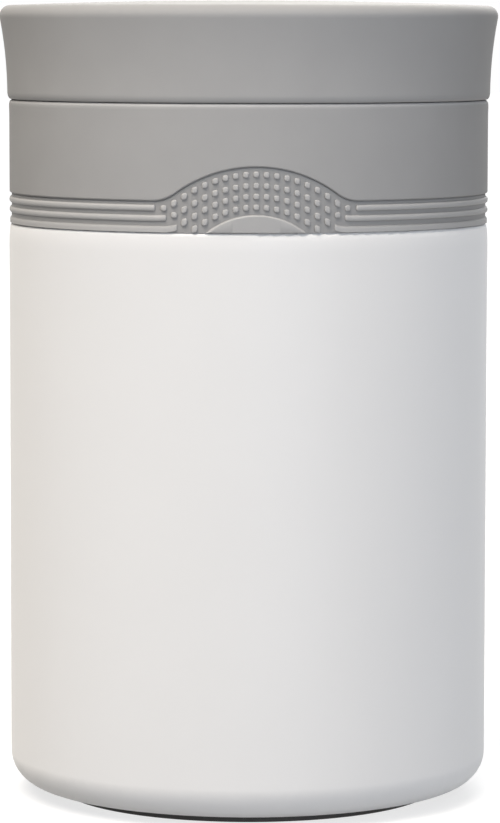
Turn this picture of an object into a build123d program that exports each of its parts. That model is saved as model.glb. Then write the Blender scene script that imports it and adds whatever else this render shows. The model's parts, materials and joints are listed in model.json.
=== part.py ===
from build123d import *
import os
from math import asin, degrees, sqrt

os.makedirs("parts", exist_ok=True)

# Insulated food jar: a vacuum-walled steel jar, a twist-off lid with a ribbed grip band and a
# pressure vent, and a twist-off cap over the vent.
#
# +Z is up and is the axis of everything that turns. The origin is the centre of the base, on
# the surface that the jar stands on. The arch of the grip band is at the front, which faces -Y.
# All sizes are in millimetres. Sections are drawn as (radius, height) and turned about Z.

# ---------------------------------------------------------------- driving dimensions
# Jar body
BODY_R = 45.0
SHOULDER_Z = 107.8  # top of the white body
SHELL_BOTTOM_Z = 1.7  # the base pad stands this far below the steel
BOTTOM_CORNER_R = 6.0
SHOULDER_ROUND = 0.8
SHOULDER_R = 44.75  # the wall leans in to this radius towards its top
SHOULDER_BEND_Z = 105.3
SHOULDER_BEND_ROUND = 20.0
NECK_ROOT_ROUND = 0.5
OUTER_WALL = 0.8
INNER_WALL = 0.6
LIP_Z = 121.6  # top of the mouth
NECK_R = 37.4  # outside of the neck
MOUTH_R = 34.6  # inside of the mouth
VESSEL_R = 40.4  # inside of the food vessel
VESSEL_FLOOR_Z = 6.8
VESSEL_CORNER_R = 12.0
VESSEL_TAPER_Z = 97.0  # where the vessel starts to close in to its mouth
VESSEL_NECK_Z = 106.0
TAPER_ROUND = 5.0
LIP_ROUND = (0.3, 0.5)  # outside and inside of the lip
SHIELD_Z = (22.0, 94.0)
SHIELD_FOIL = 0.25
SHIELD_GAP = 0.1

# Base
PAD_R = 34.9
PAD_TOP_Z = 2.5
PAD_DISH = 0.8  # hollow under the middle of the pad
PAD_RIM = 7.7  # width of the ring that the jar stands on
PAD_EDGE = 0.5
PAD_GAP = 0.3  # between the pad and the step of the plate around it
BASE_FLANGE_R = 37.0
DIMPLE_R = 6.0
DIMPLE_DEPTH = 1.3
HOLE_R = 0.9
BEAD_R = 2.4
BEAD_DEPTH = 0.7
GETTER_X = 18.0
GETTER_R = 4.0
GETTER_HEIGHT = 1.6
GETTER_EDGE = 0.4

# Lid: lower tier
LID_R = 44.95
LID_BOTTOM_Z = 107.95
LID_TOP_Z = 130.65
LID_TOP_ROUND = 0.45
LID_DECK = 2.3  # thickness of the deck
LID_INSIDE_R = 41.3
BOSS_R = 38.4  # ring that the cap screws on
BOSS_INSIDE_R = 34.6
BOSS_TOP_Z = 137.2
COLLAR_R = 9.4  # ring that guides the vent button
COLLAR_INSIDE_R = 8.0
COLLAR_TOP_Z = 134.2
DECK_HOLE_R = 5.5

# Grip band
BAND_TOP_Z = 113.45
BAND_BACK_R = 43.4  # face that the band is moulded onto
BAND_FLOOR_R = 44.3
RIB_R = 0.6
RIB_HEIGHTS = (112.2, 110.35, 108.6)
RIB_END_X = (17.8, 15.8, 14.05)  # where each rib stops short of the arch, seen from the front
RIB_CENTRE_R = (44.38, 44.35, 44.25)
ARCH_CENTRE_Z = 95.6  # the arch, the rows of dots and the half-moon share this centre
ARCH_R = 23.95
ARCH_BLEND_R = 6.5  # reverse curve from the arch into the band's straight top edge
MOON_R = 15.3
MOON_FACE_R = 45.0
DOT_ROW_R = (22.96, 21.04, 19.17, 17.24)
DOT_PITCH = 1.81
DOT_SIDE = 0.95
DOT_FACE_R = 44.9
FULL_COLUMNS = 6  # columns further out than this lose one dot each
LAST_COLUMN = 9
LAST_DOT_LIFT = 0.8  # the outermost dot follows the reverse curve, not its row

# Lid liner and plug
LINER_R = 41.0
LINER_BOTTOM_Z = 108.2
PLUG_R = 34.0
PLUG_WALL = 1.8
PLUG_BOTTOM_Z = 100.0
PLUG_ROUND = 3.0
SEAT_Z = 123.2  # face above the lid seal
SEAT_TOP_Z = 125.0
POST_R = 5.2  # post around the vent stem, inside the plug
POST_BORE_R = 1.9
POST_TOP_Z = 126.0

# Vent
BUTTON_R = 7.7
BUTTON_TOP_Z = 136.4
BUTTON_CROWN = 1.6
BUTTON_SKIRT_Z = 133.3
BUTTON_WALL = 1.5
BUTTON_DISH = 0.5  # hollow for the fingertip
BUTTON_RIM = 1.8
STEM_R = 1.6
STEM_HEAD_R = 2.8
STEM_BOTTOM_Z = 96.4
VENT_DISC_R = 5.5
VENT_DISC_Z = 97.4
VENT_SEAL_R = 5.0
VENT_SEAL_BOTTOM_Z = 99.0
SPRING_R = 3.7
SPRING_WIRE_R = 0.25
SPRING_TURNS = 5

# Cap: upper tier
CAP_BOTTOM_Z = 131.0
CAP_FOOT_R = 45.3
CAP_CREASE_R = 46.68  # widest line of the whole object
CAP_CREASE_Z = 146.38
CAP_FLARE_R = 45.87  # the side at its most hollow height
CAP_FLARE_Z = 140.8
CROWN_EDGE_R = 44.3
CROWN_EDGE_Z = 148.65
CROWN_TOP_Z = 149.25
CAP_INSIDE_R = 42.6
CAP_INSIDE_TOP_Z = 146.6
CAP_INSIDE_BEVEL = 1.5
CAP_LINER_R = 42.4
CAP_LINER_BOTTOM_Z = 131.3
CAP_ROOT_R = 40.0
CAP_SEAT_Z = 138.8  # face above the cap seal
CAP_ROOF_Z = 142.2
CAP_LINER_TOP_Z = 143.8

# Seals lie loose, this far from the faces that press on them
SEAL_GAP = 0.2
LID_SEAL_R = (34.4, 37.2)
CAP_SEAL_R = (34.8, 38.2)
CAP_LIP_R = (33.2, 34.4)  # rim that holds the cap's seal in its seat
CAP_LIP_Z = 137.9

# Threads: three starts each, right-handed. Widths are a ridge's root and crest.
STARTS = 3
LID_LEAD = 15.0
LID_THREAD_ROOT_R = 39.0  # root of the lid's own thread
LID_RIDGE_WIDTHS = (2.6, 1.4)
CAP_LEAD = 12.0
CAP_RIDGE_WIDTHS = (2.0, 1.0)
RUNNING_GAP = 0.4  # between a crest and the root that it faces
JAR_THREAD_Z = 110.9  # where the middle line of each ridge starts, and how far it rises
JAR_THREAD_RISE = 7.5
LID_THREAD_Z = 110.2
LID_THREAD_RISE = 9.5
BOSS_THREAD_Z = 131.95
BOSS_THREAD_RISE = 3.9
CAP_THREAD_Z = 132.6
CAP_THREAD_RISE = 3.6

# Common to the moulded pieces
SINK = 0.15  # ridges and raised details start this far inside their wall
EDGE = 0.3
CORNER = 0.5
FOAM_GAP = 0.1


def thread_ridge(root_r, crest_r, start_z, rise, lead, widths, turn=0.0):
    """One ridge of a thread, whose middle line starts at start_z, turned by turn degrees."""
    half_root, half_crest = widths[0] / 2, widths[1] / 2
    with BuildPart() as ridge:
        with BuildLine():
            Helix(pitch=lead, height=rise, radius=root_r, center=(0, 0, start_z))
        with BuildSketch(Plane.XZ):
            Polygon(
                (root_r, start_z - half_root),
                (crest_r, start_z - half_crest),
                (crest_r, start_z + half_crest),
                (root_r, start_z + half_root),
                align=None,
            )
        sweep(is_frenet=True)
    return ridge.part.rotate(Axis.Z, turn)


def mating_turn(start_z, partner_start_z, lead):
    """Turn that puts a ridge midway between its partner's ridges."""
    half_pitch = lead / STARTS / 2
    return 360 * (start_z - partner_start_z - half_pitch) / lead


# ---------------------------------------------------------------- jar
neck_inside_r = NECK_R - OUTER_WALL
shell_inside_r = BODY_R - OUTER_WALL
neck_top_z = LIP_Z - INNER_WALL  # the vessel's lip lies on the neck

jar_ridge = thread_ridge(
    NECK_R - SINK, LID_THREAD_ROOT_R - RUNNING_GAP, JAR_THREAD_Z, JAR_THREAD_RISE, LID_LEAD, LID_RIDGE_WIDTHS
)

with BuildPart() as outer_shell:
    with BuildSketch(Plane.XZ):
        with BuildLine():
            FilletPolyline(
                (BASE_FLANGE_R, SHELL_BOTTOM_Z),
                (BODY_R, SHELL_BOTTOM_Z),
                (BODY_R, SHOULDER_BEND_Z),
                (SHOULDER_R, SHOULDER_Z),
                (NECK_R, SHOULDER_Z),
                (NECK_R, neck_top_z),
                (neck_inside_r, neck_top_z),
                (neck_inside_r, SHOULDER_Z - OUTER_WALL),
                (shell_inside_r, SHOULDER_Z - OUTER_WALL),
                (shell_inside_r, SHELL_BOTTOM_Z + OUTER_WALL),
                (BASE_FLANGE_R, SHELL_BOTTOM_Z + OUTER_WALL),
                radius=[
                    0, BOTTOM_CORNER_R, SHOULDER_BEND_ROUND, SHOULDER_ROUND, NECK_ROOT_ROUND, 0,
                    0, NECK_ROOT_ROUND + OUTER_WALL, 0, BOTTOM_CORNER_R - OUTER_WALL, 0,
                ],
                close=True,
            )
        make_face()
    revolve(axis=Axis.Z)
    with PolarLocations(0, STARTS):
        add(jar_ridge)
outer_shell.part.label = "outer_shell"

# The bottom plate is stepped up so that the pad sits in it, with a dimple for the evacuation hole.
plate_top_z = PAD_TOP_Z + OUTER_WALL

with BuildPart() as outer_base:
    with BuildSketch(Plane.XZ):
        with BuildLine():
            Polyline(
                (HOLE_R, PAD_TOP_Z + DIMPLE_DEPTH),
                (DIMPLE_R, PAD_TOP_Z + DIMPLE_DEPTH),
                (DIMPLE_R, PAD_TOP_Z),
                (PAD_R + PAD_GAP, PAD_TOP_Z),
                (PAD_R + PAD_GAP, SHELL_BOTTOM_Z),
                (BASE_FLANGE_R, SHELL_BOTTOM_Z),
                (BASE_FLANGE_R, plate_top_z),
                (DIMPLE_R + OUTER_WALL, plate_top_z),
                (DIMPLE_R + OUTER_WALL, plate_top_z + DIMPLE_DEPTH),
                (HOLE_R, plate_top_z + DIMPLE_DEPTH),
                close=True,
            )
        make_face()
    revolve(axis=Axis.Z)
outer_base.part.label = "outer_base"

# A bead of solder fills the evacuation hole and spreads under it.
with BuildPart() as vacuum_seal_plug:
    with BuildSketch(Plane.XY.offset(PAD_TOP_Z + DIMPLE_DEPTH - BEAD_DEPTH)):
        Circle(BEAD_R)
    extrude(amount=BEAD_DEPTH)
    with BuildSketch(Plane.XY.offset(PAD_TOP_Z + DIMPLE_DEPTH)):
        Circle(HOLE_R)
    extrude(amount=OUTER_WALL)
vacuum_seal_plug.part.label = "vacuum_seal_plug"

# The getter is a pressed pill that lies on the plate, inside the vacuum.
with BuildPart() as getter:
    with BuildSketch(Plane.XY.offset(plate_top_z)):
        with Locations((GETTER_X, 0)):
            Circle(GETTER_R)
    extrude(amount=GETTER_HEIGHT)
    chamfer(getter.faces().sort_by(Axis.Z)[-1].edges(), GETTER_EDGE)
getter.part.label = "getter"

with BuildPart() as base_pad:
    with BuildSketch(Plane.XZ):
        with BuildLine():
            Polyline(
                (0, PAD_DISH),
                (PAD_R - PAD_RIM - PAD_DISH, PAD_DISH),
                (PAD_R - PAD_RIM, 0),
                (PAD_R - PAD_EDGE, 0),
                (PAD_R, PAD_EDGE),
                (PAD_R, PAD_TOP_Z),
                (0, PAD_TOP_Z),
                close=True,
            )
        make_face()
    revolve(axis=Axis.Z)
base_pad.part.label = "base_pad"

vessel_outside_r = VESSEL_R + INNER_WALL
vessel_neck_r = MOUTH_R + INNER_WALL

with BuildPart() as inner_vessel:
    with BuildSketch(Plane.XZ):
        with BuildLine():
            FilletPolyline(
                (0, VESSEL_FLOOR_Z - INNER_WALL),
                (vessel_outside_r, VESSEL_FLOOR_Z - INNER_WALL),
                (vessel_outside_r, VESSEL_TAPER_Z),
                (vessel_neck_r, VESSEL_NECK_Z),
                (vessel_neck_r, neck_top_z),
                (NECK_R, neck_top_z),
                (NECK_R, LIP_Z),
                (MOUTH_R, LIP_Z),
                (MOUTH_R, VESSEL_NECK_Z),
                (VESSEL_R, VESSEL_TAPER_Z),
                (VESSEL_R, VESSEL_FLOOR_Z),
                (0, VESSEL_FLOOR_Z),
                radius=[
                    0, VESSEL_CORNER_R, TAPER_ROUND, TAPER_ROUND, 0, 0,
                    *LIP_ROUND, TAPER_ROUND, TAPER_ROUND, VESSEL_CORNER_R - INNER_WALL, 0,
                ],
                close=True,
            )
        make_face()
    revolve(axis=Axis.Z)
inner_vessel.part.label = "inner_vessel"

with BuildPart() as radiation_shield:
    with BuildSketch(Plane.XY.offset(SHIELD_Z[0])):
        Circle(vessel_outside_r + SHIELD_GAP + SHIELD_FOIL)
        Circle(vessel_outside_r + SHIELD_GAP, mode=Mode.SUBTRACT)
    extrude(amount=SHIELD_Z[1] - SHIELD_Z[0])
radiation_shield.part.label = "radiation_shield"

# ---------------------------------------------------------------- lid
# The seal is a ring that narrows towards the mouth that it rests on.
lid_seal_bottom_z = LIP_Z + SEAL_GAP
lid_seal_top_z = SEAT_Z - SEAL_GAP

with BuildPart() as lid_seal_ring:
    with BuildSketch(Plane.XZ):
        with BuildLine():
            Polyline(
                (LID_SEAL_R[0], lid_seal_top_z),
                (LID_SEAL_R[1], lid_seal_top_z),
                (LID_SEAL_R[1], lid_seal_bottom_z + CORNER),
                (LID_SEAL_R[1] - CORNER, lid_seal_bottom_z),
                (LID_SEAL_R[0] + CORNER, lid_seal_bottom_z),
                (LID_SEAL_R[0], lid_seal_bottom_z + CORNER),
                close=True,
            )
        make_face()
    revolve(axis=Axis.Z)
lid_seal_ring.part.label = "lid_seal_ring"

deck_bottom_z = LID_TOP_Z - LID_DECK

# Outline of the arch that rises from the band: an arc, with reverse curves into the straight edge.
blend_z = BAND_TOP_Z + ARCH_BLEND_R
blend_x = sqrt((ARCH_R + ARCH_BLEND_R) ** 2 - (blend_z - ARCH_CENTRE_Z) ** 2)
reach = ARCH_R / (ARCH_R + ARCH_BLEND_R)
touch_x = blend_x * reach
touch_z = ARCH_CENTRE_Z + (blend_z - ARCH_CENTRE_Z) * reach
arch_foot_z = BAND_TOP_Z - 1.0  # the window's foot is lost in the band
window_depth = 2 * BODY_R

with BuildPart() as arch_window:
    with BuildSketch(Plane.XZ):
        with BuildLine():
            rise = TangentArc((-blend_x, BAND_TOP_Z), (-touch_x, touch_z), tangent=(1, 0))
            crown = ThreePointArc(rise @ 1, (0, ARCH_CENTRE_Z + ARCH_R), (touch_x, touch_z))
            TangentArc(crown @ 1, (blend_x, BAND_TOP_Z), tangent=crown % 1)
            Polyline(
                (blend_x, BAND_TOP_Z),
                (blend_x, arch_foot_z),
                (-blend_x, arch_foot_z),
                (-blend_x, BAND_TOP_Z),
            )
        make_face()
    extrude(amount=window_depth)
    with BuildSketch(Plane.XY.offset(arch_foot_z)):
        Circle(LID_R + SINK)
        Circle(BAND_BACK_R, mode=Mode.SUBTRACT)
    extrude(amount=ARCH_R, mode=Mode.INTERSECT)

boss_ridge = thread_ridge(
    BOSS_R - SINK, CAP_ROOT_R - RUNNING_GAP, BOSS_THREAD_Z, BOSS_THREAD_RISE, CAP_LEAD, CAP_RIDGE_WIDTHS
)

with BuildPart() as lid_shell:
    with BuildSketch(Plane.XZ):
        with BuildLine():
            FilletPolyline(
                (LID_INSIDE_R, LID_BOTTOM_Z),
                (BAND_BACK_R, LID_BOTTOM_Z),
                (BAND_BACK_R, BAND_TOP_Z),
                (LID_R, BAND_TOP_Z),
                (LID_R, LID_TOP_Z),
                (BOSS_R, LID_TOP_Z),
                (BOSS_R, BOSS_TOP_Z),
                (BOSS_INSIDE_R, BOSS_TOP_Z),
                (BOSS_INSIDE_R, LID_TOP_Z),
                (COLLAR_R, LID_TOP_Z),
                (COLLAR_R, COLLAR_TOP_Z),
                (COLLAR_INSIDE_R, COLLAR_TOP_Z),
                (COLLAR_INSIDE_R, LID_TOP_Z),
                (DECK_HOLE_R, LID_TOP_Z),
                (DECK_HOLE_R, deck_bottom_z),
                (LID_INSIDE_R, deck_bottom_z),
                radius=[
                    0, 0, 0, EDGE, LID_TOP_ROUND, 0, EDGE, EDGE,
                    CORNER, CORNER, EDGE, EDGE, 0, 0, 0, 2 * CORNER,
                ],
                close=True,
            )
        make_face()
    revolve(axis=Axis.Z)
    add(arch_window.part, mode=Mode.SUBTRACT)
    with PolarLocations(0, STARTS):
        add(boss_ridge)
lid_shell.part.label = "lid_shell"


def front_spot(x, z, radius):
    """Place on a cylinder about Z, at x seen from the front, facing outwards."""
    return Location((x, -sqrt(radius**2 - x**2), z), (0, 0, degrees(asin(x / radius))))


def dot_spots(radius):
    """Places of the dots: rows on arcs about the arch's centre, in evenly spaced columns."""
    spots = []
    for column in range(-LAST_COLUMN, LAST_COLUMN + 1):
        x = column * DOT_PITCH
        lift = LAST_DOT_LIFT if abs(column) == LAST_COLUMN else 0
        rows = len(DOT_ROW_R) - max(0, abs(column) - FULL_COLUMNS)
        for row_r in DOT_ROW_R[:rows]:
            spots.append(front_spot(x, ARCH_CENTRE_Z + sqrt(row_r**2 - x**2) + lift, radius))
    return spots


with BuildPart() as half_moon:
    with BuildSketch(Plane.XZ):
        with Locations((0, ARCH_CENTRE_Z)):
            Circle(MOON_R)
        with Locations((0, LID_BOTTOM_Z)):
            Rectangle(2 * MOON_R, MOON_R, align=(Align.CENTER, Align.MIN), mode=Mode.INTERSECT)
    extrude(amount=window_depth)
    with BuildSketch(Plane.XY.offset(LID_BOTTOM_Z)):
        Circle(MOON_FACE_R)
        Circle(BAND_FLOOR_R - SINK, mode=Mode.SUBTRACT)
    extrude(amount=MOON_R, mode=Mode.INTERSECT)

with BuildPart() as grip_band:
    add(arch_window.part)
    with BuildSketch(Plane.XY.offset(arch_foot_z)):
        Circle(BAND_FLOOR_R)
    extrude(amount=ARCH_R, mode=Mode.INTERSECT)
    with BuildSketch(Plane.XY.offset(LID_BOTTOM_Z)):
        Circle(BAND_FLOOR_R)
        Circle(BAND_BACK_R, mode=Mode.SUBTRACT)
    extrude(amount=BAND_TOP_Z - LID_BOTTOM_Z)
    for rib_z, rib_r, end_x in zip(RIB_HEIGHTS, RIB_CENTRE_R, RIB_END_X):
        half_gap = degrees(asin(end_x / rib_r))
        with BuildSketch(Plane.XZ.rotated((0, 0, half_gap - 90))):
            with Locations((rib_r, rib_z)):
                Circle(RIB_R)
        revolve(axis=Axis.Z, revolution_arc=360 - 2 * half_gap)
        for side in (-1, 1):
            with Locations(front_spot(side * end_x, rib_z, rib_r)):
                Sphere(RIB_R)
    add(half_moon.part)
    with Locations(dot_spots((BAND_FLOOR_R - SINK + DOT_FACE_R) / 2)):
        Box(DOT_SIDE, DOT_FACE_R - BAND_FLOOR_R + SINK, DOT_SIDE)
grip_band.part.label = "grip_band"

lid_ridge = thread_ridge(
    LID_THREAD_ROOT_R + SINK, NECK_R + RUNNING_GAP, LID_THREAD_Z, LID_THREAD_RISE, LID_LEAD,
    LID_RIDGE_WIDTHS, mating_turn(LID_THREAD_Z, JAR_THREAD_Z, LID_LEAD),
)

with BuildPart() as lid_liner:
    with BuildSketch(Plane.XZ):
        with BuildLine():
            FilletPolyline(
                (LINER_R, LINER_BOTTOM_Z),
                (LINER_R, SEAT_TOP_Z),
                (PLUG_R - PLUG_WALL, SEAT_TOP_Z),
                (PLUG_R - PLUG_WALL, PLUG_BOTTOM_Z + PLUG_WALL),
                (POST_R, PLUG_BOTTOM_Z + PLUG_WALL),
                (POST_R, POST_TOP_Z),
                (POST_BORE_R, POST_TOP_Z),
                (POST_BORE_R, PLUG_BOTTOM_Z),
                (PLUG_R, PLUG_BOTTOM_Z),
                (PLUG_R, SEAT_Z),
                (LID_THREAD_ROOT_R, SEAT_Z),
                (LID_THREAD_ROOT_R, LINER_BOTTOM_Z),
                radius=[EDGE, CORNER, CORNER, CORNER, CORNER, EDGE, 0, 0, PLUG_ROUND, 0, CORNER, EDGE],
                close=True,
            )
        make_face()
    revolve(axis=Axis.Z)
    with PolarLocations(0, STARTS):
        add(lid_ridge)
lid_liner.part.label = "lid_liner"

with BuildPart() as lid_insulation:
    with BuildSketch(Plane.XY.offset(PLUG_BOTTOM_Z + PLUG_WALL + FOAM_GAP)):
        Circle(PLUG_R - PLUG_WALL - FOAM_GAP)
        Circle(POST_R + FOAM_GAP, mode=Mode.SUBTRACT)
    extrude(amount=deck_bottom_z - PLUG_BOTTOM_Z - PLUG_WALL - 2 * FOAM_GAP)
    chamfer(lid_insulation.faces().sort_by(Axis.Z)[0].edges(), CORNER)
lid_insulation.part.label = "lid_insulation"

# ---------------------------------------------------------------- vent
button_under_z = BUTTON_TOP_Z - BUTTON_CROWN

with BuildPart() as vent_button:
    with BuildSketch(Plane.XZ):
        with BuildLine():
            FilletPolyline(
                (0, BUTTON_TOP_Z - BUTTON_DISH),
                (BUTTON_R - BUTTON_RIM, BUTTON_TOP_Z),
                (BUTTON_R, BUTTON_TOP_Z),
                (BUTTON_R, BUTTON_SKIRT_Z),
                (BUTTON_R - BUTTON_WALL, BUTTON_SKIRT_Z),
                (BUTTON_R - BUTTON_WALL, button_under_z),
                (0, button_under_z),
                radius=[0, 0, CORNER, EDGE, EDGE, EDGE, 0],
                close=True,
            )
        make_face()
    revolve(axis=Axis.Z)
vent_button.part.label = "vent_button"

with BuildPart() as vent_stem:
    with BuildSketch(Plane.XY.offset(VENT_DISC_Z)):
        Circle(STEM_R)
    extrude(amount=button_under_z - VENT_DISC_Z)
    with BuildSketch(Plane.XY.offset(STEM_BOTTOM_Z)):
        Circle(STEM_HEAD_R)
    extrude(amount=VENT_DISC_Z - STEM_BOTTOM_Z)
    chamfer(vent_stem.faces().sort_by(Axis.Z)[0].edges(), EDGE)
vent_stem.part.label = "vent_stem"

with BuildPart() as vent_retainer:
    with BuildSketch(Plane.XY.offset(VENT_DISC_Z)):
        Circle(VENT_DISC_R)
        Circle(STEM_R, mode=Mode.SUBTRACT)
    extrude(amount=VENT_SEAL_BOTTOM_Z - VENT_DISC_Z)
vent_retainer.part.label = "vent_retainer"

with BuildPart() as vent_seal:
    with BuildSketch(Plane.XY.offset(VENT_SEAL_BOTTOM_Z)):
        Circle(VENT_SEAL_R)
        Circle(STEM_R, mode=Mode.SUBTRACT)
    extrude(amount=PLUG_BOTTOM_Z - SEAL_GAP - VENT_SEAL_BOTTOM_Z)
vent_seal.part.label = "vent_seal"

spring_bottom_z = POST_TOP_Z + SPRING_WIRE_R
spring_height = button_under_z - POST_TOP_Z - 2 * SPRING_WIRE_R

with BuildPart() as vent_spring:
    with BuildLine():
        coil = Helix(spring_height / SPRING_TURNS, spring_height, SPRING_R, center=(0, 0, spring_bottom_z))
    with BuildSketch(Plane(origin=coil @ 0, z_dir=coil % 0)):
        Circle(SPRING_WIRE_R)
    sweep(is_frenet=True)
vent_spring.part.label = "vent_spring"

# ---------------------------------------------------------------- cap
with BuildPart() as cap_seal_ring:
    with BuildSketch(Plane.XY.offset(BOSS_TOP_Z + SEAL_GAP)):
        Circle(CAP_SEAL_R[1])
        Circle(CAP_SEAL_R[0], mode=Mode.SUBTRACT)
    extrude(amount=CAP_SEAT_Z - BOSS_TOP_Z - 2 * SEAL_GAP)
    chamfer(cap_seal_ring.faces().sort_by(Axis.Z)[0].edges(), EDGE)
cap_seal_ring.part.label = "cap_seal_ring"

with BuildPart() as cap_shell:
    with BuildSketch(Plane.XZ):
        with BuildLine():
            top = TangentArc((0, CROWN_TOP_Z), (CROWN_EDGE_R, CROWN_EDGE_Z), tangent=(1, 0))
            TangentArc(top @ 1, (CAP_CREASE_R, CAP_CREASE_Z), tangent=top % 1)
            ThreePointArc(
                (CAP_CREASE_R, CAP_CREASE_Z),
                (CAP_FLARE_R, CAP_FLARE_Z),
                (CAP_FOOT_R, CAP_BOTTOM_Z + CORNER),
            )
            Polyline(
                (CAP_FOOT_R, CAP_BOTTOM_Z + CORNER),
                (CAP_FOOT_R - CORNER, CAP_BOTTOM_Z),
                (CAP_INSIDE_R, CAP_BOTTOM_Z),
                (CAP_INSIDE_R, CAP_INSIDE_TOP_Z - CAP_INSIDE_BEVEL),
                (CAP_INSIDE_R - CAP_INSIDE_BEVEL, CAP_INSIDE_TOP_Z),
                (0, CAP_INSIDE_TOP_Z),
                (0, CROWN_TOP_Z),
            )
        make_face()
    revolve(axis=Axis.Z)
cap_shell.part.label = "cap_shell"

cap_ridge = thread_ridge(
    CAP_ROOT_R + SINK, BOSS_R + RUNNING_GAP, CAP_THREAD_Z, CAP_THREAD_RISE, CAP_LEAD,
    CAP_RIDGE_WIDTHS, mating_turn(CAP_THREAD_Z, BOSS_THREAD_Z, CAP_LEAD),
)

with BuildPart() as cap_liner:
    with BuildSketch(Plane.XZ):
        with BuildLine():
            FilletPolyline(
                (0, CAP_LINER_TOP_Z),
                (CAP_LINER_R, CAP_LINER_TOP_Z),
                (CAP_LINER_R, CAP_LINER_BOTTOM_Z),
                (CAP_ROOT_R, CAP_LINER_BOTTOM_Z),
                (CAP_ROOT_R, CAP_SEAT_Z),
                (CAP_LIP_R[1], CAP_SEAT_Z),
                (CAP_LIP_R[1], CAP_LIP_Z),
                (CAP_LIP_R[0], CAP_LIP_Z),
                (CAP_LIP_R[0], CAP_ROOF_Z),
                (0, CAP_ROOF_Z),
                radius=[0, CORNER, EDGE, EDGE, CORNER, 0, EDGE, EDGE, 2 * CORNER, 0],
                close=True,
            )
        make_face()
    revolve(axis=Axis.Z)
    with PolarLocations(0, STARTS):
        add(cap_ridge)
cap_liner.part.label = "cap_liner"

with BuildPart() as cap_insulation:
    with BuildSketch(Plane.XY.offset(CAP_LINER_TOP_Z + FOAM_GAP)):
        Circle(CAP_LINER_R - CAP_INSIDE_BEVEL - FOAM_GAP)
    extrude(amount=CAP_INSIDE_TOP_Z - CAP_LINER_TOP_Z - 2 * FOAM_GAP)
cap_insulation.part.label = "cap_insulation"

# ---------------------------------------------------------------- files
for piece in (
    outer_shell, outer_base, vacuum_seal_plug, getter, base_pad, inner_vessel, radiation_shield,
    lid_seal_ring, lid_shell, grip_band, lid_liner, lid_insulation,
    vent_button, vent_stem, vent_retainer, vent_seal, vent_spring,
    cap_seal_ring, cap_shell, cap_liner, cap_insulation,
):
    export_step(piece.part, f"parts/{piece.part.label}.step")
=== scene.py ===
import json
from math import asin, atan2, ceil, cos, hypot, pi, radians, sin, sqrt, tan

import bpy
from mathutils import Matrix, Vector


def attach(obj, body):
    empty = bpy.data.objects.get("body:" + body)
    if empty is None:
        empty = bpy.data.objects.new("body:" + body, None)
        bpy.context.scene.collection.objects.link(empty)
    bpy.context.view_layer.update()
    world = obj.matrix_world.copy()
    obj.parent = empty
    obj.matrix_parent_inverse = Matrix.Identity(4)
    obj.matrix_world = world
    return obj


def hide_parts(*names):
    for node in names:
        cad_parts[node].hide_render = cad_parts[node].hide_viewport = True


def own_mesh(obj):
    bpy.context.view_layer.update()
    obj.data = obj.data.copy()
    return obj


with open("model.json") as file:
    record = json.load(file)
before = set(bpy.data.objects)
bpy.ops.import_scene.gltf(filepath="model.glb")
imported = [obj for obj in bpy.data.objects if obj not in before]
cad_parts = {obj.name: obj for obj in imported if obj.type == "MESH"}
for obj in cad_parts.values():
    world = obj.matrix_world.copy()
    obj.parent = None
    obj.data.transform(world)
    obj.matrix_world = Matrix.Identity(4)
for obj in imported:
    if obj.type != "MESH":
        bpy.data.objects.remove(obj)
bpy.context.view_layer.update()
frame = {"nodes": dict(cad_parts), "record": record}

# Insulated food jar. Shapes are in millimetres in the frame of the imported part: +Z is up, the origin
# is under the middle of the base, and the arch of the grip band faces -Y.
MM = 0.001
nodes = frame["nodes"]
for imported in list(bpy.data.materials):
    bpy.data.materials.remove(imported)

# ---------------------------------------------------------------- dimensions, as in the source
# Lid: lower tier
LID_R = 44.95
LID_BOTTOM_Z = 107.95
LID_TOP_Z = 130.65
LID_FLARE_Z = 126.7  # the wall leans out above this height
LID_RIM_R = 45.0
LID_RIM_Z = 130.78  # the rim stands a little above the deck
LID_RIM_ROUND = (0.45, 1.1)
RIM_FACET = ((44.66, 130.67), (44.5, 130.78))  # catches the light under the cap
RIM_STEP = (43.9, 43.6)
DECK_BOTTOM_Z = 128.35
LID_INSIDE_R = 41.3
BOSS_R = 38.4
BOSS_INSIDE_R = 34.6
BOSS_TOP_Z = 137.2
COLLAR_R = 9.4
COLLAR_INSIDE_R = 8.0
COLLAR_TOP_Z = 134.2
DECK_HOLE_R = 5.5
EDGE = 0.3
CORNER = 0.5
BOSS_STARTS = 3
BOSS_RIDGE_START_Z = 131.95
BOSS_RIDGE_RISE = 3.9
BOSS_RIDGE_LEAD = 12.0
BOSS_RIDGE_WIDTHS = (2.0, 1.0)
BOSS_RIDGE_CREST_R = 39.6
SINK = 0.15

# Grip band
BAND_TOP_Z = 113.45
BAND_BACK_R = 43.4
BAND_FLOOR_R = 44.55
FLOOR_BOTTOM_Z = 107.84
FLOOR_SKIRT = (44.2, 107.79)  # the lip that sits on the body's shoulder
ARCH_CENTRE_Z = 95.6
ARCH_R = 24.02
ARCH_BLEND_R = 6.5
GROOVE = 0.3  # between the lid's edge and the soft band's floor
GROOVE_EDGE = 0.12
GROOVE_END_R = 44.38
GROOVE_END = 0.02
LID_ARCH_ROUND = 0.3
RIB_R = 0.6
RIB_END_ROUND = 0.3
RIB_HEIGHTS = (112.2, 110.35, 108.45)
RIB_END_X = (17.8, 15.8, 13.85)
RIB_CENTRE_R = (44.38, 44.35, 44.25)
RIB_END_LIFT = (0.0, 0.12, 0.45)  # the ends bend up to run along the arch
RIB_LIFT_RUN = 2.5
RIB_FOOT = (0.6, 0.6, 0.59)  # reach below the middle; the lowest rib ends square above the body
MOON_CENTRE_Z = 97.0
MOON_R = 14.1
MOON_FACE_R = 45.0
MOON_BOTTOM_Z = 107.82
MOON_LOW_BEVEL = 0.6  # the bevel's share along the lower edge
MOON_RINGS = ((0.0, -0.47), (0.0, -0.34), (0.05, -0.2), (0.24, -0.03), (0.34, 0.0))
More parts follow.
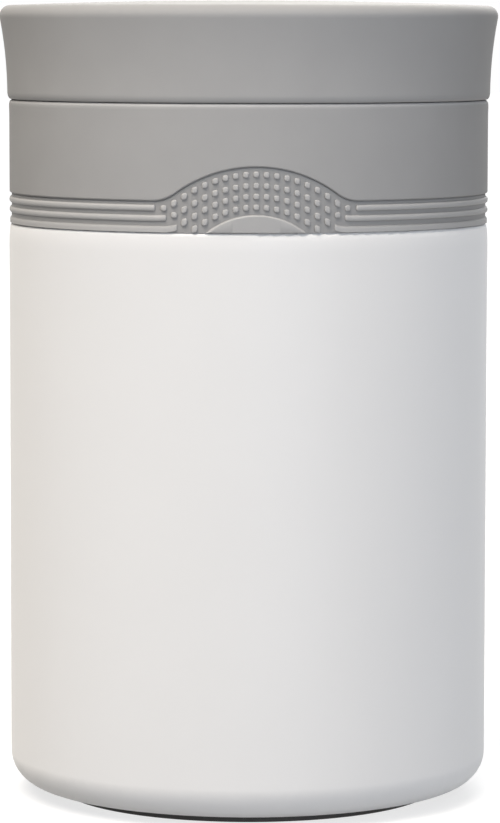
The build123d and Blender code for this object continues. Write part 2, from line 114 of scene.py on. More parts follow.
DOT_ROW_R = (22.68, 20.67, 18.76, 16.84)
DOT_PITCH = 1.825
DOT_SIDE = 1.06
DOT_SLANT = 0.38  # share of the row's slope that the dots' ends follow
DOT_STRETCH = 0.6
DOT_FLAT_LIFT = 0.5  # a dot lifted this far has left its arc
DOT_FACE_R = 44.97
DOT_CORNER = 0.36
DOT_ROUND = 0.25
FULL_COLUMNS = 6
LAST_COLUMN = 9
DOT_LIFTS = {  # by (column, row)
    (9, 0): 0.95, (8, 0): 0.1, (8, 1): 0.75, (7, 1): 0.12, (7, 2): 0.4, (6, 3): 0.15,
}

# Vent spring, between the post in the plug and the underside of the button
POST_TOP_Z = 126.0
BUTTON_UNDER_Z = 134.8
SPRING_R = 3.7
SPRING_WIRE_R = 0.25
SPRING_TURNS = 6
SPRING_DEAD_TURNS = 0.9  # turns that lie flat at each end
SPRING_GAP = 0.02

# Cap
CAP_BOTTOM_Z = 131.0
CAP_FOOT_R = 45.3
CAP_FOOT_ROUND = (0.6, 1.35)
CAP_FOOT_Z = 130.9  # the foot reaches a little below the rest of the lower edge
CAP_CREASE = (46.68, 146.15)
CAP_FLARE = (45.72, 139.6)
CROWN_EDGE = (44.75, 148.35)
CROWN_TOP_Z = 149.25
CAP_INSIDE_R = 42.6
CAP_INSIDE_TOP_Z = 146.6
CAP_INSIDE_BEVEL = 1.5
CREASE_SOFT = 0.3

# ---------------------------------------------------------------- mesh helpers


def piece(name, verts, faces, body, slot, stands_for, sharp=35.0):
    """A mesh object in place of CAD nodes, smooth apart from edges sharper than the angle given."""
    mesh = bpy.data.meshes.new(name)
    mesh.from_pydata([(x * MM, y * MM, z * MM) for x, y, z in verts], [], faces)
    mesh.validate()
    mesh.shade_smooth()
    mesh.set_sharp_from_angle(angle=radians(sharp))
    made = bpy.data.objects.new(name, mesh)
    bpy.context.scene.collection.objects.link(made)
    weighted = made.modifiers.new("weighted", "WEIGHTED_NORMAL")
    weighted.keep_sharp = True
    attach(made, body)
    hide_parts(*stands_for)
    return made


def spot(angle, radius, z):
    """Point at an angle from the front, positive towards +X."""
    return (radius * sin(angle), -radius * cos(angle), z)


def front_spot(x, z, radius):
    """Point on a cylinder about Z, at x seen from the front."""
    return (x, -sqrt(radius**2 - x**2), z)


ROUND_STEPS = 5


def oval(start, end, steps=8):
    """Points of a quarter of an ellipse that starts upright at start and ends level at end."""
    across, along = end[0] - start[0], end[1] - start[1]
    turns = [pi / 2 * k / steps for k in range(steps + 1)]
    return [(start[0] + across * (1 - cos(a)), start[1] + along * sin(a)) for a in turns]


def plain(points):
    """Corners without rounding."""
    return [(r, z, 0) for r, z in points]


def rounded(corners):
    """A section's points from its (radius, height, rounding) corners."""
    points = []
    for i, (r, z, fillet) in enumerate(corners):
        corner = Vector((r, z))
        if not fillet:
            points.append((r, z))
            continue
        back = (Vector(corners[i - 1][:2]) - corner).normalized()
        ahead = (Vector(corners[(i + 1) % len(corners)][:2]) - corner).normalized()
        half = back.angle(ahead) / 2
        centre = corner + (back + ahead).normalized() * (fillet / sin(half))
        start = corner + back * (fillet / tan(half)) - centre
        end = corner + ahead * (fillet / tan(half)) - centre
        for k in range(ROUND_STEPS + 1):
            place = centre + start.lerp(end, k / ROUND_STEPS).normalized() * fillet
            points.append((round(place.x, 6), round(place.y, 6)))
    return points


def whole_turn(coarse, fine=None, reach=0.0):
    """Angles of one turn, from the back round to the back, closer together within reach of the front."""
    angles = []
    spans = [(-180.0, 180.0, coarse)]
    if fine:
        spans = [(-180.0, -reach, coarse), (-reach, reach, fine), (reach, 180.0, coarse)]
    for start, end, step in spans:
        count = ceil((end - start) / step)
        angles += [radians(start + (end - start) * k / count) for k in range(count)]
    return angles


def turned(section, angles, closed=True):
    """Verts and faces of a section, which may change with the angle, turned through one turn."""
    verts, faces = [], []
    for angle in angles:
        points = section(angle)
        verts += [spot(angle, r, z) for r, z in points]
    count, turns = len(points), len(angles)
    for i in range(turns):
        here, there = i * count, (i + 1) % turns * count
        for k in range(count if closed else count - 1):
            m = (k + 1) % count
            faces.append((here + k, there + k, there + m, here + m))
    return verts, faces


def on_axis_merged(verts, faces):
    """The same mesh with the points that share a place on the axis made one."""
    kept, index, places = [], [], {}
    for v in verts:
        key = ("axis", round(v[2], 6)) if hypot(v[0], v[1]) < 1e-9 else len(kept)
        if key not in places:
            places[key] = len(kept)
            kept.append(v)
        index.append(places[key])
    cleaned = []
    for face in faces:
        ring = []
        for i in face:
            if index[i] not in ring:
                ring.append(index[i])
        if len(ring) > 2:
            cleaned.append(tuple(ring))
    return kept, cleaned


def join(parts):
    """Several (verts, faces) as one."""
    verts, faces = [], []
    for v, f in parts:
        offset = len(verts)
        verts += v
        faces += [tuple(i + offset for i in face) for face in f]
    return verts, faces


def tube(rings):
    """Verts and faces of a closed skin over rings of points, with flat ends."""
    count = len(rings[0])
    verts = [v for ring in rings for v in ring]
    faces = [tuple(range(count))[::-1]]
    for i in range(len(rings) - 1):
        for k in range(count):
            m = (k + 1) % count
            a, b = i * count, (i + 1) * count
            faces.append((a + k, a + m, b + m, b + k))
    last = (len(rings) - 1) * count
    faces.append(tuple(range(last, last + count)))
    return verts, faces


# ---------------------------------------------------------------- lid: lower tier
BLEND_Z = BAND_TOP_Z + ARCH_BLEND_R
BLEND_X = sqrt((ARCH_R + ARCH_BLEND_R) ** 2 - (BLEND_Z - ARCH_CENTRE_Z) ** 2)
TOUCH_X = BLEND_X * ARCH_R / (ARCH_R + ARCH_BLEND_R)


def band_top(x):
    """Height of the grip band's top edge at x, seen from the front."""
    x = abs(x)
    if x >= BLEND_X:
        return BAND_TOP_Z
    if x <= TOUCH_X:
        return ARCH_CENTRE_Z + sqrt(ARCH_R**2 - x**2)
    return BLEND_Z - sqrt(ARCH_BLEND_R**2 - (BLEND_X - x) ** 2)


def at_front(angle, radius):
    """x seen from the front, or far out on the back half."""
    return radius * sin(angle) if cos(angle) > 0 else LID_R


def lid_section(angle):
    outer = band_top(at_front(angle, LID_R))
    inner = band_top(at_front(angle, BAND_BACK_R))
    across, along = LID_RIM_ROUND
    rim_start_z = LID_RIM_Z - along
    flare = [LID_FLARE_Z + (rim_start_z - LID_FLARE_Z) * k / 4 for k in range(4)]
    lean, rise = LID_RIM_R - LID_R, rim_start_z - LID_FLARE_Z
    wall = [(LID_R + lean * ((z - LID_FLARE_Z) / rise) ** 2, z) for z in flare]
    return rounded([
        (LID_INSIDE_R, LID_BOTTOM_Z, 0),
        (BAND_BACK_R, LID_BOTTOM_Z, 0),
        (BAND_BACK_R, inner, 0),
        (LID_R, outer, LID_ARCH_ROUND),
        *plain(wall),
        *plain(oval((LID_RIM_R, rim_start_z), (LID_RIM_R - across, LID_RIM_Z))[:5]),
        *plain(RIM_FACET),
        (RIM_STEP[0], LID_RIM_Z, 0),
        (RIM_STEP[1], LID_TOP_Z, 0),
        (BOSS_R, LID_TOP_Z, 0),
        (BOSS_R, BOSS_TOP_Z, EDGE),
        (BOSS_INSIDE_R, BOSS_TOP_Z, EDGE),
        (BOSS_INSIDE_R, LID_TOP_Z, CORNER),
        (COLLAR_R, LID_TOP_Z, CORNER),
        (COLLAR_R, COLLAR_TOP_Z, EDGE),
        (COLLAR_INSIDE_R, COLLAR_TOP_Z, EDGE),
        (COLLAR_INSIDE_R, LID_TOP_Z, 0),
        (DECK_HOLE_R, LID_TOP_Z, 0),
        (DECK_HOLE_R, DECK_BOTTOM_Z, 0),
        (LID_INSIDE_R, DECK_BOTTOM_Z, 2 * CORNER),
    ])


RIDGE_STEPS = 60


def boss_ridge(turn):
    """One thread ridge on the ring that the cap screws on."""
    half_root, half_crest = BOSS_RIDGE_WIDTHS[0] / 2, BOSS_RIDGE_WIDTHS[1] / 2
    rings = []
    for k in range(RIDGE_STEPS + 1):
        rise = BOSS_RIDGE_RISE * k / RIDGE_STEPS
        angle = radians(90 + turn) + 2 * pi * rise / BOSS_RIDGE_LEAD
        z = BOSS_RIDGE_START_Z + rise
        rings.append([
            spot(angle, BOSS_R - SINK, z - half_root),
            spot(angle, BOSS_RIDGE_CREST_R, z - half_crest),
            spot(angle, BOSS_RIDGE_CREST_R, z + half_crest),
            spot(angle, BOSS_R - SINK, z + half_root),
        ])
    return tube(rings)


front_turn = whole_turn(2.0, 0.25, 26.0)
boss_ridges = [boss_ridge(360 * k / BOSS_STARTS) for k in range(BOSS_STARTS)]
lid_tier = piece(
    "lid_tier",
    *join([turned(lid_section, front_turn)] + boss_ridges),
    body="lid", slot="grey_plastic", stands_for=["lid_shell"],
)

# ---------------------------------------------------------------- grip band


def floor_section(angle):
    outer = band_top(at_front(angle, BAND_FLOOR_R)) - GROOVE
    groove_end = band_top(at_front(angle, GROOVE_END_R)) - GROOVE_END
    inner = band_top(at_front(angle, BAND_BACK_R)) - GROOVE_END
    middle = (outer + FLOOR_BOTTOM_Z) / 2
    return rounded([
        (BAND_BACK_R, FLOOR_SKIRT[1], 0),
        (*FLOOR_SKIRT, 0),
        (BAND_FLOOR_R, FLOOR_BOTTOM_Z, 0),
        (BAND_FLOOR_R, middle, 0),
        (BAND_FLOOR_R, outer, GROOVE_EDGE),
        (GROOVE_END_R, groove_end, 0),
        (BAND_BACK_R, inner, 0),
    ])


RIB_STEPS = 24
RIB_POWER = 0.8
RIB_END_STEPS = 6


def squarish(share):
    """A sine or cosine pushed outwards, so that a rod's section is a little square."""
    return abs(share) ** RIB_POWER * (1 if share > 0 else -1)


def rib(height, centre_r, end_x, lift, foot):
    """A rod round the band, with softly squared ends that stop short of the arch."""
    end_angle = asin(end_x / centre_r)
    round_angle = RIB_END_ROUND / centre_r
    insets = []
    for k in range(RIB_END_STEPS):
        quarter = pi / 2 * k / RIB_END_STEPS
        insets.append((end_angle + round_angle * (1 - cos(quarter)), RIB_END_ROUND * (1 - sin(quarter))))
    step = radians(1.0)
    first, last = end_angle + round_angle, 2 * pi - end_angle - round_angle
    count = ceil((last - first) / step)
    straight = [(first + (last - first) * k / count, 0.0) for k in range(count + 1)]
    path = insets + straight + [(2 * pi - a, inset) for a, inset in insets[::-1]]
    rings = []
    for angle, inset in path:
        reach = min(angle, 2 * pi - angle) * centre_r - end_angle * centre_r
        rise = lift * max(0.0, 1 - reach / RIB_LIFT_RUN) ** 2
        ring = []
        for k in range(RIB_STEPS):
            turn = 2 * pi * k / RIB_STEPS
            radius = RIB_R - inset
            out, up = squarish(cos(turn)), squarish(sin(turn))
            if up < 0 and foot != RIB_R:
                out = 1 if out > 0 else -1
                up *= foot / RIB_R
            ring.append(spot(angle, centre_r + radius * out, height + rise + radius * up))
        rings.append(ring)
    return tube(rings)


def rounded_square(half, corner, steps=3):
    """Points of a square with rounded corners, about its centre."""
    points = []
    for quarter in range(4):
        for k in range(steps + 1):
            turn = pi / 2 * (quarter + k / steps)
            centre = pi / 2 * quarter + pi / 4
            points.append((
                (half - corner) * sqrt(2) * cos(centre) + corner * cos(turn),
                (half - corner) * sqrt(2) * sin(centre) + corner * sin(turn),
            ))
    return points


def dot(column, row):
    """One raised dot: upright sides, and ends that run along its row's arc."""
    middle = column * DOT_PITCH
    rise = sqrt(DOT_ROW_R[row] ** 2 - middle**2)
    lift = DOT_LIFTS.get((abs(column), row), 0.0)
    height = ARCH_CENTRE_Z + rise + lift
    slope = middle / rise if lift < DOT_FLAT_LIFT else 0.0
    lean = DOT_SLANT * slope
    stretch = 1 + DOT_STRETCH * (hypot(1, slope) - 1)
    levels = [(0.0, BAND_FLOOR_R - SINK)]
    for k in range(4):
        turn = pi / 2 * k / 3
        levels.append((DOT_ROUND * (1 - cos(turn)), DOT_FACE_R - DOT_ROUND * (1 - sin(turn))))
    rings = []
    for inset, radius in levels:
        half = DOT_SIDE / 2 - inset
        ring = []
        for u, v in rounded_square(half, max(DOT_CORNER - inset, 0.05)):
            ring.append(front_spot(middle + u, height + v * stretch - u * lean, radius))
        rings.append(ring)
    return tube(rings)


def dots():
    made = []
    for column in range(-LAST_COLUMN, LAST_COLUMN + 1):
        rows = len(DOT_ROW_R) - max(0, abs(column) - FULL_COLUMNS)
        made += [dot(column, row) for row in range(rows)]
    return made


MOON_STEPS = 72


def half_moon():
    """Smooth pad under the dots, with a fine bevel round its edge."""
    rings = []
    for inset, depth in MOON_RINGS:
        radius, bottom = MOON_R - inset, MOON_BOTTOM_Z + MOON_LOW_BEVEL * inset
        tip = asin(sqrt(radius**2 - (bottom - MOON_CENTRE_Z) ** 2) / radius)
        face = MOON_FACE_R + depth
        upper, lower = [], []
        for k in range(MOON_STEPS + 1):
            turn = tip * (2 * k / MOON_STEPS - 1)
            x = radius * sin(turn)
            upper.append(front_spot(x, MOON_CENTRE_Z + radius * cos(turn), face))
            lower.append(front_spot(x, bottom, face))
        rings.append(upper + lower[-2:0:-1])
    count = len(rings[0])
    verts = [v for ring in rings for v in ring]
    faces = [tuple(range(count))]
    for i in range(len(rings) - 1):
        a, b = i * count, (i + 1) * count
        faces += [(a + k, b + k, b + (k + 1) % count, a + (k + 1) % count) for k in range(count)]
    top = (len(rings) - 1) * count
    for k in range(MOON_STEPS):
        low = [(top + (count - j) % count) if 0 < j < MOON_STEPS else top + j for j in (k, k + 1)]
        quad = []
        for i in (top + k, top + k + 1, low[1], low[0]):
            if i not in quad:
                quad.append(i)
        faces.append(tuple(quad[::-1]))
    return verts, faces


ribs = [rib(*facts) for facts in zip(RIB_HEIGHTS, RIB_CENTRE_R, RIB_END_X, RIB_END_LIFT, RIB_FOOT)]
band = piece(
    "grip_band_detail",
    *join([turned(floor_section, front_turn)] + ribs + dots() + [half_moon()]),
    body="lid", slot="grey_grip", stands_for=["grip_band"],
)

# ---------------------------------------------------------------- cap


def arc_from(start, heading, end, steps):
    """Points of the arc that leaves start along heading and reaches end, without its start."""
    start, end = Vector(start), Vector(end)
    side = Vector((-heading[1], heading[0])).normalized()
    chord = end - start
    radius = chord.length_squared / (2 * chord.dot(side))
    centre = start + side * radius
    a = atan2(start.y - centre.y, start.x - centre.x)
    b = atan2(end.y - centre.y, end.x - centre.x)
    sweep = (b - a + pi) % (2 * pi) - pi
    points = []
    for k in range(1, steps + 1):
        turn = a + sweep * k / steps
        points.append((centre.x + abs(radius) * cos(turn), centre.y + abs(radius) * sin(turn)))
    return points


def softened(points, corner, reach):
    """The line with a corner replaced by a smooth curve that starts and ends reach away from it."""
    at = points.index(corner)
    corner = Vector(corner)
    before = [p for p in points[:at] if (Vector(p) - corner).length > reach]
    after = [p for p in points[at + 1:] if (Vector(p) - corner).length > reach]
    start = corner + (Vector(before[-1]) - corner).normalized() * reach
    end = corner + (Vector(after[0]) - corner).normalized() * reach
    bend = []
    for k in range(ROUND_STEPS + 1):
        t = k / ROUND_STEPS
        bend.append(tuple(start.lerp(corner, t).lerp(corner.lerp(end, t), t)))
    return before + bend + after


def cap_line():
    crown = [(0.0, CROWN_TOP_Z)] + arc_from((0.0, CROWN_TOP_Z), (1, 0), CROWN_EDGE, 24)
    heading = Vector(crown[-1]) - Vector(crown[-2])
    brow = arc_from(CROWN_EDGE, heading, CAP_CREASE, 16)
    brow[-1] = CAP_CREASE
    across, along = CAP_FOOT_ROUND
    foot = (CAP_FOOT_R, CAP_FOOT_Z + along)
    height = CAP_CREASE[1] - foot[1]
    depth = CAP_FLARE[0] - (CAP_FOOT_R + (CAP_CREASE[0] - CAP_FOOT_R) * (CAP_FLARE[1] - foot[1]) / height)
    flank = []
    for k in range(1, 31):
        t = k / 30
        z = CAP_CREASE[1] + (foot[1] - CAP_CREASE[1]) * t
        peak = (CAP_CREASE[1] - CAP_FLARE[1]) / height
        sag = depth * t * (1 - t) / (peak * (1 - peak))
        flank.append((CAP_CREASE[0] + (foot[0] - CAP_CREASE[0]) * t + sag, z))
    outside = softened(crown + brow + flank, CAP_CREASE, CREASE_SOFT)
    inside = rounded([
        *plain(oval(foot, (CAP_FOOT_R - across, CAP_FOOT_Z))[1:]),
        (RIM_STEP[0], CAP_FOOT_Z, 0),
        (RIM_STEP[1], CAP_BOTTOM_Z, 0),
        (CAP_INSIDE_R, CAP_BOTTOM_Z, EDGE),
        (CAP_INSIDE_R, CAP_INSIDE_TOP_Z - CAP_INSIDE_BEVEL, 0),
        (CAP_INSIDE_R - CAP_INSIDE_BEVEL, CAP_INSIDE_TOP_Z, 0),
        (0.0, CAP_INSIDE_TOP_Z, 0),
    ])
    return outside + inside


cap_points = cap_line()
cap_cover = piece(
    "cap_cover",
    *on_axis_merged(*turned(lambda angle: cap_points, whole_turn(1.5), closed=False)),
    body="cap", slot="grey_plastic", stands_for=["cap_shell"],
)

# ---------------------------------------------------------------- vent spring
COIL_STEPS = 48  # a turn
COIL_SIDES = 10


def coil_height(turn):
    """Height of the wire's middle after a number of turns: flat ends and an even pitch between them."""
    bottom, top = POST_TOP_Z + SPRING_WIRE_R, BUTTON_UNDER_Z - SPRING_GAP - SPRING_WIRE_R
    dead_rise = SPRING_DEAD_TURNS * 2 * SPRING_WIRE_R
    if turn < SPRING_DEAD_TURNS:
        return bottom + turn * 2 * SPRING_WIRE_R
    if turn > SPRING_TURNS - SPRING_DEAD_TURNS:
        return top - (SPRING_TURNS - turn) * 2 * SPRING_WIRE_R
    share = (turn - SPRING_DEAD_TURNS) / (SPRING_TURNS - 2 * SPRING_DEAD_TURNS)
    return bottom + dead_rise + share * (top - bottom - 2 * dead_rise)


def coil():
    rings = []
    for k in range(COIL_STEPS * SPRING_TURNS + 1):
        angle, z = 2 * pi * k / COIL_STEPS, coil_height(k / COIL_STEPS)
        ring = []
        for j in range(COIL_SIDES):
            turn = 2 * pi * j / COIL_SIDES
            ring.append(spot(angle, SPRING_R + SPRING_WIRE_R * cos(turn), z + SPRING_WIRE_R * sin(turn)))
        rings.append(ring)
    return tube(rings)


spring_coil = piece("spring_coil", *coil(), body="lid", slot="steel", stands_for=["vent_spring"])
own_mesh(spring_coil)

# ---------------------------------------------------------------- base pad
PAD_R = 34.9
PAD_TOP_Z = 2.5
PAD_DISH = 0.8
PAD_RIM = 7.7
PAD_EDGE = 0.2
PAD_LIP_R = 35.5  # the lip hides the joint between the pad and the steel
PAD_LIP_Z = 1.6


base_foot = piece(
    "base_foot",
    *on_axis_merged(*turned(lambda angle: rounded([
        (0.0, PAD_TOP_Z, 0),
        (0.0, PAD_DISH, 0),
        (PAD_R - PAD_RIM - PAD_DISH, PAD_DISH, EDGE),
        (PAD_R - PAD_RIM, 0.0, EDGE),
        (PAD_LIP_R, 0.0, PAD_EDGE),
        (PAD_LIP_R, PAD_LIP_Z, PAD_EDGE),
        (PAD_R, PAD_LIP_Z, 0),
        (PAD_R, PAD_TOP_Z, 0),
    ]), whole_turn(1.5))),
    body="jar", slot="black_rubber", stands_for=["base_pad"],
)

# ---------------------------------------------------------------- materials


class Finish:
    """A material's node graph."""

    def __init__(self, name):
        self.material = bpy.data.materials.new(name)
        self.material.use_nodes = True
        self.tree = self.material.node_tree
        self.tree.nodes.clear()
        self.place = self.add("TexCoord").outputs["Object"]

    def add(self, kind, settings=None, **inputs):
        made = self.tree.nodes.new("ShaderNode" + kind)
        for key, value in (settings or {}).items():
            setattr(made, key, value)
        for key, value in inputs.items():
            self.feed(made.inputs[key.replace("_", " ")], value)
        return made

    def feed(self, socket, value):
        if isinstance(value, bpy.types.NodeSocket):
            self.tree.links.new(value, socket)
        else:
            socket.default_value = value

    def maths(self, operation, a, b=None):
        made = self.add("Math", {"operation": operation})
        self.feed(made.inputs[0], a)
        if b is not None:
            self.feed(made.inputs[1], b)
        return made.outputs[0]

    def noise(self, size_mm, detail=2.0, roughness=0.5, place=None):
        """Noise whose features are about size_mm across."""
        made = self.add("TexNoise", Scale=1 / (size_mm * MM), Detail=detail, Roughness=roughness)
        self.feed(made.inputs["Vector"], place or self.place)
        return made.outputs["Fac"]

    def ramp(self, factor, *stops):
        made = self.add("ValToRGB", Fac=factor)
        points = made.color_ramp.elements
        while len(points) < len(stops):
            points.new(0.5)
        for point, (where, colour) in zip(points, stops):
            point.position = where
            point.color = (*colour, 1.0) if isinstance(colour, tuple) else (colour, colour, colour, 1.0)
        return made.outputs["Color"]

    def bump(self, *layers):
        """Normal from (height, depth in mm) layers."""
        normal = None
        for height, depth in layers:
            made = self.add("Bump", Strength=1.0, Distance=depth * MM, Height=height)
            if normal:
                self.feed(made.inputs["Normal"], normal)
            normal = made.outputs["Normal"]
        return normal

    def radius(self):
        """Distance from the axis."""
        split = self.add("SeparateXYZ", Vector=self.place)
        flat = self.add("CombineXYZ", X=split.outputs["X"], Y=split.outputs["Y"])
        return self.add("VectorMath", {"operation": "LENGTH"}, Vector=flat.outputs[0]).outputs["Value"]

    def turned_place(self, along=1.0, around=1.0):
        """Coordinates that run with the lathe: radius and height scaled by along, angle by around."""
        split = self.add("SeparateXYZ", Vector=self.place)
        radius = self.radius()
        angle = self.maths("ARCTAN2", split.outputs["Y"], split.outputs["X"])
        made = self.add(
            "CombineXYZ",
            X=self.maths("MULTIPLY", radius, along),
            Y=self.maths("MULTIPLY", split.outputs["Z"], along),
            Z=self.maths("MULTIPLY", angle, around),
        )
        return made.outputs[0]

    def surface(self, **inputs):
        shader = self.add("BsdfPrincipled", **inputs)
        return shader

    def done(self, shader):
        self.add("OutputMaterial", Surface=shader.outputs[0])
        return self.material


def shaded(colour, amount):
    return tuple(c * amount for c in colour)


def spun_steel(finish, colour=(0.51, 0.505, 0.495), roughness=(0.24, 0.34), satin=None):
    """Spun stainless steel: fine rings that follow the lathe, and faint cloudiness; satin where asked."""
    rings = finish.noise(0.12, 3.0, 0.6, finish.turned_place(1.0, 0.002))
    cloud = finish.noise(14.0, 2.0)
    rough = finish.ramp(rings, (0.3, roughness[0]), (0.7, roughness[1]))
    metallic = 1.0
    if satin:
        rough = finish.maths("ADD", rough, finish.maths("MULTIPLY", satin, SATIN_ROUGHER))
        metallic = finish.maths("SUBTRACT", 1.0, finish.maths("MULTIPLY", satin, SATIN_DIFFUSE))
    return finish.surface(
        Base_Color=finish.ramp(cloud, (0.35, shaded(colour, 0.96)), (0.65, colour)),
        Metallic=metallic,
        Roughness=rough,
        Normal=finish.bump((rings, 0.004)),
    )


COAT_COLOUR = (0.757, 0.747, 0.732)
COAT_EDGE_Z = 107.2
COAT_EDGE_R = 43.6


def white_coat():
    """Satin powder coat with a fine orange-peel, over steel that shows where the neck is left bare."""
    finish = Finish("white_coat")
    peel = finish.noise(0.7, 2.0)
    grain = finish.noise(0.12, 2.0)
    cloud = finish.noise(22.0, 2.0)
    coat = finish.surface(
        Base_Color=finish.ramp(cloud, (0.3, shaded(COAT_COLOUR, 0.99)), (0.7, COAT_COLOUR)),
        Roughness=finish.ramp(grain, (0.3, 0.46), (0.7, 0.54)),
        Diffuse_Roughness=0.55,
        Specular_IOR_Level=0.4,
        Normal=finish.bump((peel, 0.006), (grain, 0.002)),
    )
    split = finish.add("SeparateXYZ", Vector=finish.place)
    above = finish.maths("GREATER_THAN", split.outputs["Z"], COAT_EDGE_Z * MM)
    inside = finish.maths("LESS_THAN", finish.radius(), COAT_EDGE_R * MM)
    bare = finish.maths("MULTIPLY", above, inside)
    mix = finish.add("MixShader", Fac=bare)
    finish.feed(mix.inputs[1], coat.outputs[0])
    finish.feed(mix.inputs[2], spun_steel(finish).outputs[0])
    return finish.done(mix)


VESSEL_INSIDE_R = 40.7
VESSEL_BOTTOM_Z = 6.5
SATIN_ROUGHER = 0.22
SATIN_DIFFUSE = 0.3  # fine blasting inside scatters part of the light


def steel():
    """Spun outside; finely blasted inside the food vessel."""
    finish = Finish("steel")
    split = finish.add("SeparateXYZ", Vector=finish.place)
    within = finish.maths("LESS_THAN", finish.radius(), VESSEL_INSIDE_R * MM)
    above = finish.maths("GREATER_THAN", split.outputs["Z"], VESSEL_BOTTOM_Z * MM)
    return finish.done(spun_steel(finish, satin=finish.maths("MULTIPLY", within, above)))


def foil():
    finish = Finish("foil")
    crease = finish.noise(3.0, 4.0, 0.6)
    return finish.done(finish.surface(
        Base_Color=finish.ramp(crease, (0.3, 0.78), (0.7, 0.86)),
        Metallic=1.0, Roughness=0.18, Normal=finish.bump((crease, 0.15)),
    ))


def solder():
    finish = Finish("solder")
    cloud = finish.noise(1.2, 4.0, 0.6)
    return finish.done(finish.surface(
        Base_Color=finish.ramp(cloud, (0.3, (0.36, 0.35, 0.33)), (0.7, (0.48, 0.47, 0.45))),
        Metallic=1.0,
        Roughness=finish.ramp(cloud, (0.3, 0.35), (0.7, 0.55)),
        Normal=finish.bump((cloud, 0.05)),
    ))


# Painted highlight along the lid's rim: the colour there is made paler so the bright line under the cap
# is stronger.
RIM_PAINTED_HIGHLIGHT_Z = (130.1, 130.5)  # the painted highlight comes in between these heights
RIM_PAINTED_HIGHLIGHT_SPARE = 0.05
RIM_PAINTED_HIGHLIGHT_SHARE = 1.35


def paint_rim_highlight(finish, colour, paler):
    """The colour, with a paler one along the rim as a painted highlight, which makes the bright line
    under the cap stronger.
    """
    split = finish.add("SeparateXYZ", Vector=finish.place)
    near = finish.add("MapRange", Value=split.outputs["Z"])
    near.inputs["From Min"].default_value = RIM_PAINTED_HIGHLIGHT_Z[0] * MM
    near.inputs["From Max"].default_value = RIM_PAINTED_HIGHLIGHT_Z[1] * MM
    below_cap = finish.maths("LESS_THAN", split.outputs["Z"], (LID_RIM_Z + RIM_PAINTED_HIGHLIGHT_SPARE) * MM)
    outer = finish.maths("GREATER_THAN", finish.radius(), RIM_STEP[0] * MM)
    painted_highlight_mask = finish.maths("MULTIPLY", near.outputs["Result"], finish.maths("MULTIPLY", below_cap, outer))
    mixed = finish.add("Mix", {"data_type": "RGBA"})
    finish.feed(mixed.inputs["Factor"], painted_highlight_mask)
    finish.feed(mixed.inputs[6], colour)
    finish.feed(mixed.inputs[7], (*paler, 1.0))
    return mixed.outputs[2]


def moulded(name, colour, roughness, grain_mm, grain_depth, cloud_share=0.97, specular=0.5, rim=False):
    """Moulded plastic or rubber: spark-eroded grain, and faint shading where the melt flowed; with rim
    set, a painted highlight along the lid's rim.
    """
    finish = Finish(name)
    grain = finish.noise(grain_mm, 3.0, 0.55)
    cloud = finish.noise(9.0, 3.0)
    base = finish.ramp(cloud, (0.3, shaded(colour, cloud_share)), (0.7, colour))
    return finish.done(finish.surface(
        Base_Color=paint_rim_highlight(finish, base, shaded(colour, RIM_PAINTED_HIGHLIGHT_SHARE)) if rim else base,
        Roughness=finish.ramp(grain, (0.3, roughness - 0.05), (0.7, roughness + 0.05)),
        Specular_IOR_Level=specular,
        Normal=finish.bump((grain, grain_depth)),
    ))


GREY = (0.346, 0.340, 0.333)
# Grip tones: raised parts paler as a painted highlight, the floor between them darker as painted shade;
# the half-moon pad has its own plain tone.
GRIP_RAISED_PAINTED_HIGHLIGHT = (0.405, 0.398, 0.39)
GRIP_MOON = (0.365, 0.359, 0.352)
GRIP_FLOOR_PAINTED_SHADE = (0.29, 0.285, 0.279)


def soft_grip_painted_relief():
    """Soft-touch rubber with painted light and shade: the raised dots and ribs paler as a painted
    highlight, the floor between them darker as painted shade, and the half-moon pad in a plain tone of
    its own.
    """
    finish = Finish("grey_grip")
    grain = finish.noise(0.25, 3.0, 0.55)
    radius = finish.radius()
    height = finish.add("MapRange", Value=radius)
    height.inputs["From Min"].default_value = (BAND_FLOOR_R + 0.08) * MM
    height.inputs["From Max"].default_value = (DOT_FACE_R - 0.12) * MM
    split = finish.add("SeparateXYZ", Vector=finish.place)
    flat = finish.add("CombineXYZ", X=split.outputs["X"], Z=split.outputs["Z"])
    off_moon = finish.add("VectorMath", {"operation": "DISTANCE"}, Vector=flat.outputs[0])
    off_moon.inputs[1].default_value = (0, 0, MOON_CENTRE_Z * MM)
    in_arc = finish.maths("LESS_THAN", off_moon.outputs["Value"], (MOON_R - 0.3) * MM)
    moon = finish.maths("MULTIPLY", in_arc, finish.maths("LESS_THAN", split.outputs["Y"], 0.0))
    colour = finish.add("Mix", {"data_type": "RGBA"})
    finish.feed(colour.inputs["Factor"], moon)
    # Painted highlight on the raised dots and ribs and painted shade on the floor between them, by
    # distance from the axis.
    painted_relief = finish.ramp(height.outputs["Result"], (0.0, GRIP_FLOOR_PAINTED_SHADE), (1.0, GRIP_RAISED_PAINTED_HIGHLIGHT))
    finish.feed(colour.inputs[6], painted_relief)
    finish.feed(colour.inputs[7], (*GRIP_MOON, 1.0))
    return finish.done(finish.surface(
        Base_Color=colour.outputs[2],
        Roughness=finish.ramp(grain, (0.3, 0.55), (0.7, 0.65)),
        Specular_IOR_Level=0.2,
        Normal=finish.bump((grain, 0.003)),
    ))


